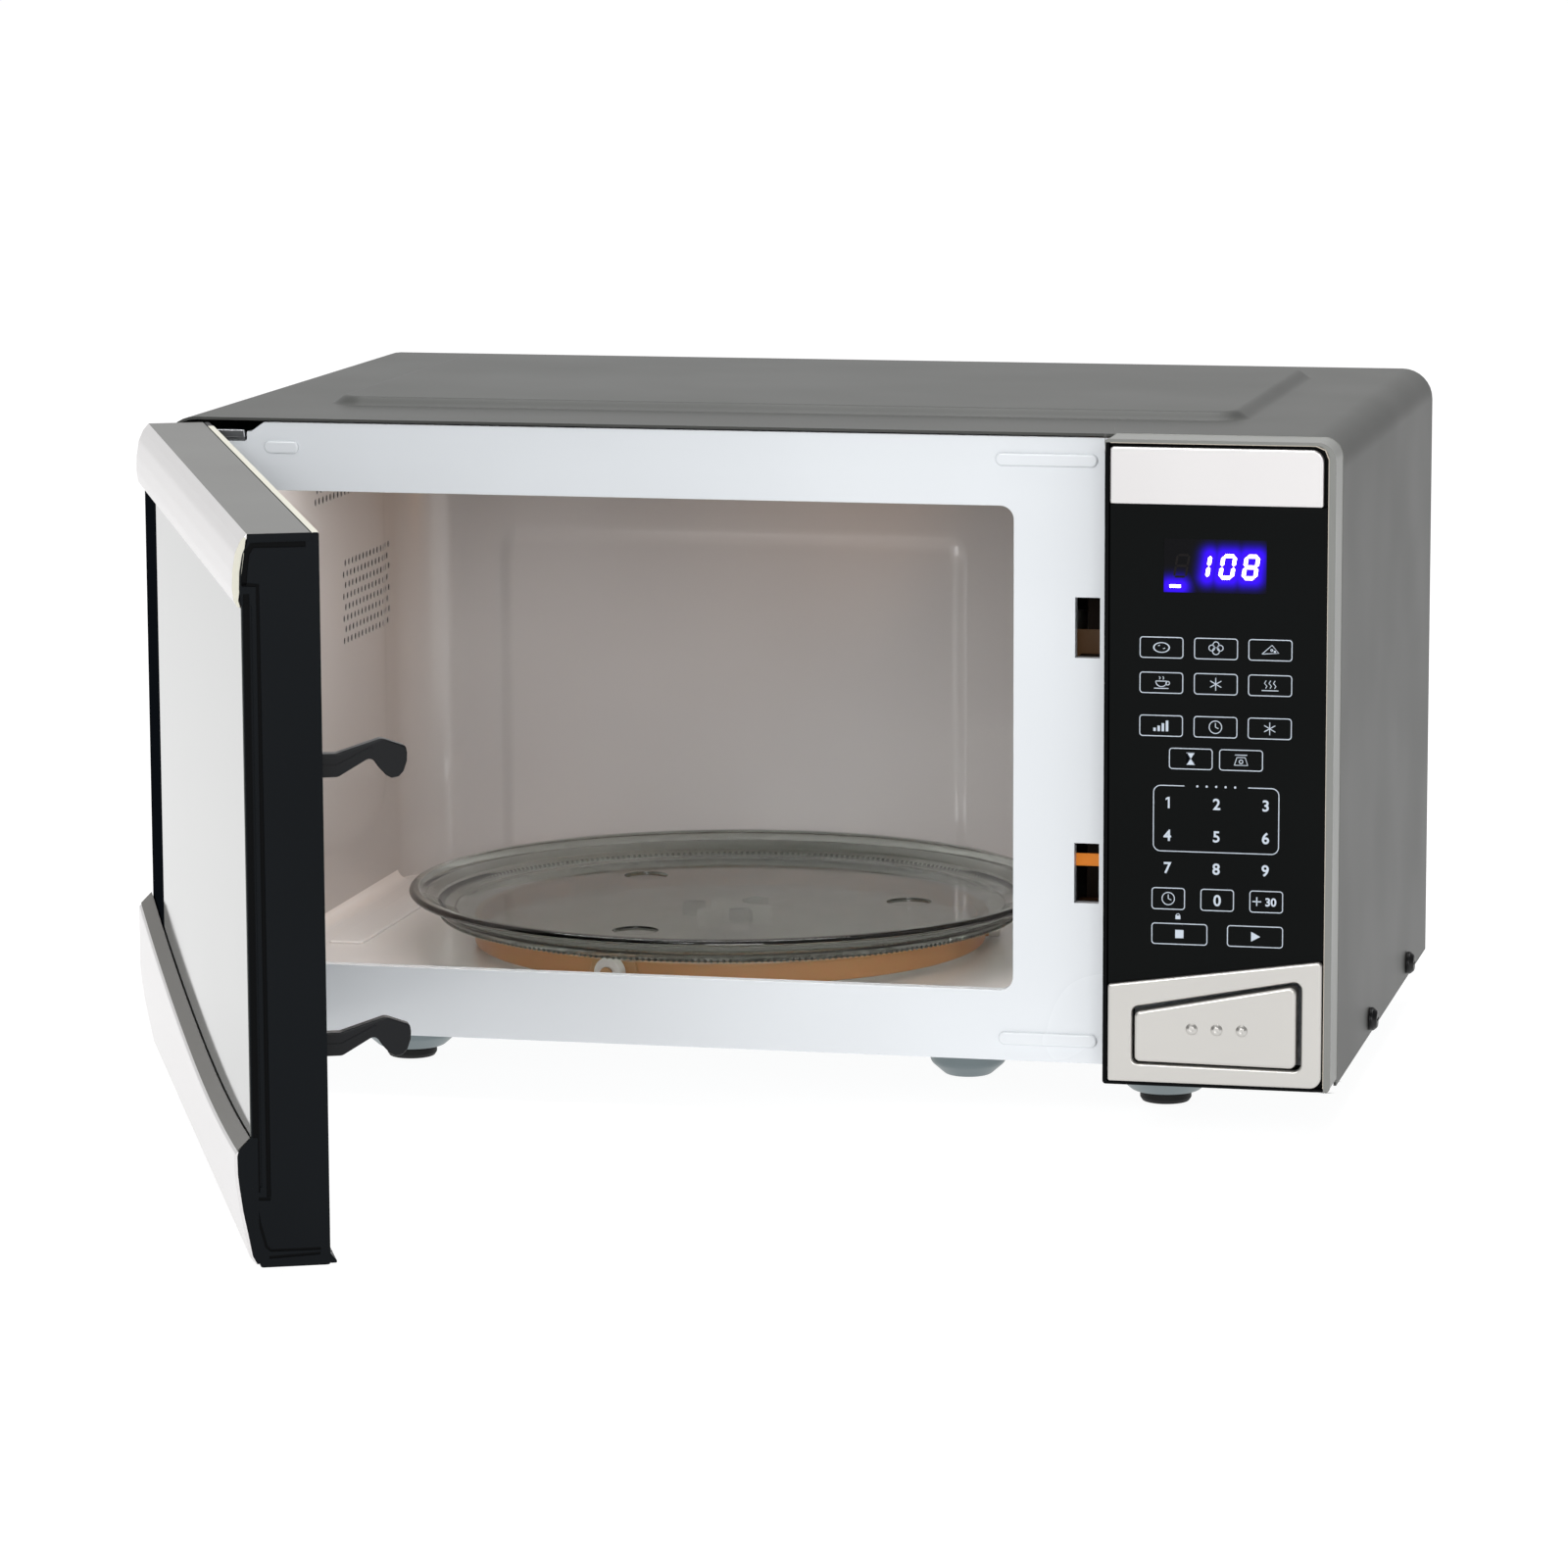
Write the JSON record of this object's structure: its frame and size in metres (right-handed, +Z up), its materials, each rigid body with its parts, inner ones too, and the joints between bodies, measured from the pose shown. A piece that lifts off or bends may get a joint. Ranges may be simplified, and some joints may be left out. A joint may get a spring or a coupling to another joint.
{
  "type": "microwave oven",
  "caption": "Countertop microwave oven with a side-hinged glass door standing part open, a glass turntable on a roller ring, and a keypad panel with a door push button.",
  "frame": {"origin": "on the worktop, under the centre of the bounding box with the door at its stored angle, 66.5 degrees from closed", "axes": "+Z up, +Y from the door side towards the back of the cabinet, +X from the hinge side towards the control panel"},
  "size_m": [0.4512, 0.6376, 0.2567],
  "materials": {
    "cover_paint": "grey fine-texture powder coat",
    "enamel": "smooth white enamel",
    "liner_enamel": "pale enamel with a warm glow",
    "galvanised": "zinc-coated sheet",
    "bright_steel": "plain steel",
    "dark_steel": "dark varnished steel",
    "silver_paint": "warm silver satin lacquer",
    "grey_bezel": "mid-grey moulded plastic",
    "black_gloss": "black semi-gloss",
    "black_plastic": "black moulded plastic",
    "door_inner_paint": "black inner door",
    "mirror_glass": "dark reflective tinted glass",
    "clear_glass": "clear pressed glass",
    "inner_film": "clear inner window",
    "ivory_plastic": "heat-resistant ivory plastic",
    "white_plastic": "white heat-resistant plastic",
    "amber_plastic": "orange-brown moulded plastic",
    "rubber": "black rubber",
    "circuit_board": "green board with parts",
    "mica": "mica sheet",
    "lamp_glass": "lit lamp bulb",
    "black_screw": "black screw head"
  },
  "bodies": {
    "cabinet": {"outer_cover": "cover_paint", "base_plate": "galvanised", "back_panel": "galvanised", "front_plate": "enamel", "cavity_liner": "liner_enamel", "waveguide_cover": "mica", "waveguide": "galvanised", "magnetron": "bright_steel", "hv_transformer": "dark_steel", "hv_capacitor": "bright_steel", "capacitor_clamp": "galvanised", "hv_diode": "black_plastic", "fan_housing": "ivory_plastic", "fan_motor": "dark_steel", "lamp_holder": "ivory_plastic", "oven_lamp": "lamp_glass", "noise_filter": "circuit_board", "thermal_cutout": "black_plastic", "turntable_motor": "galvanised", "cord_gland": "black_plastic", "upper_hinge": "galvanised", "lower_hinge": "galvanised", "latch_board": "amber_plastic", "control_housing": "grey_bezel", "keypad_membrane": "black_gloss", "display_window": "black_gloss", "display_module": "black_plastic", "control_board": "circuit_board", "panel_top_trim": "silver_paint", "panel_lower_trim": "silver_paint", "foot_front_left": "rubber", "foot_front_right": "rubber", "foot_rear_left": "rubber", "foot_rear_right": "rubber", "door_switch_lower": "black_plastic", "door_switch_middle": "black_plastic", "door_switch_upper": "black_plastic", "side_screw_front": "black_screw", "side_screw_rear": "black_screw"},
    "door": {"door_frame": "black_gloss", "door_glass": "mirror_glass", "door_top_trim": "silver_paint", "door_lower_trim": "silver_paint", "door_choke_plate": "dark_steel", "door_inner_cover": "door_inner_paint", "door_inner_window": "inner_film"},
    "latch": {"latch_hooks": "black_plastic", "latch_spring": "bright_steel"},
    "release_button": {"release_button": "silver_paint"},
    "release_slider": {"release_slider": "white_plastic", "slider_spring": "bright_steel"},
    "turntable": {"turntable_shaft": "bright_steel", "turntable_coupler": "white_plastic", "glass_tray": "clear_glass"},
    "roller_ring": {"roller_ring": "amber_plastic"},
    "ring_roller_1": {"ring_roller_1": "white_plastic"},
    "ring_roller_2": {"ring_roller_2": "white_plastic"},
    "ring_roller_3": {"ring_roller_3": "white_plastic"},
    "fan": {"fan_blade": "ivory_plastic"}
  },
  "joints": [
    {"name": "door_hinge", "type": "hinge", "parent": "cabinet", "child": "door", "pos_m": [-0.21019, 0.00576, 0.13], "axis": [0, 0, 1], "range_deg": [-33.5, 66.5]},
    {"name": "latch_slide", "type": "slide", "parent": "door", "child": "latch", "axis": [0, 0, 1], "range_m": [0, 0.005], "stiffness_N_per_m": 300, "springref_m": -0.004, "deforming": ["latch_spring"]},
    {"name": "button_push", "type": "slide", "parent": "cabinet", "child": "release_button", "axis": [0, 1, 0], "range_m": [0, 0.005], "stiffness_N_per_m": 600, "springref_m": -0.002},
    {"name": "slider_lift", "type": "slide", "parent": "cabinet", "child": "release_slider", "axis": [0, 0, 1], "range_m": [-0.001, 0.006], "deforming": ["slider_spring"]},
    {"name": "turntable_spin", "type": "hinge", "parent": "cabinet", "child": "turntable", "pos_m": [-0.03499, 0.16046, 0.042], "axis": [0, 0, 1], "continuous": true},
    {"name": "ring_spin", "type": "hinge", "parent": "cabinet", "child": "roller_ring", "pos_m": [-0.03499, 0.16046, 0.0433], "axis": [0, 0, 1], "continuous": true},
    {"name": "roller_1_spin", "type": "hinge", "parent": "roller_ring", "child": "ring_roller_1", "pos_m": [-0.05797, 0.05934, 0.0433], "axis": [-0.2215, -0.9751, 0], "continuous": true},
    {"name": "roller_2_spin", "type": "hinge", "parent": "roller_ring", "child": "ring_roller_2", "pos_m": [0.06407, 0.19113, 0.0433], "axis": [0.9553, 0.2957, 0], "continuous": true},
    {"name": "roller_3_spin", "type": "hinge", "parent": "roller_ring", "child": "ring_roller_3", "pos_m": [-0.11108, 0.23092, 0.0433], "axis": [-0.7337, 0.6794, 0], "continuous": true},
    {"name": "fan_spin", "type": "hinge", "parent": "cabinet", "child": "fan", "pos_m": [0.17001, 0.27446, 0.172], "axis": [0, 1, 0], "continuous": true}
  ],
  "couplings": [
    {"joint": "slider_lift", "follows": "button_push", "ratio": 1},
    {"joint": "ring_spin", "follows": "turntable_spin", "ratio": 0.5},
    {"joint": "roller_1_spin", "follows": "turntable_spin", "ratio": -8.9397},
    {"joint": "roller_2_spin", "follows": "turntable_spin", "ratio": -8.9397},
    {"joint": "roller_3_spin", "follows": "turntable_spin", "ratio": -8.9397}
  ]
}
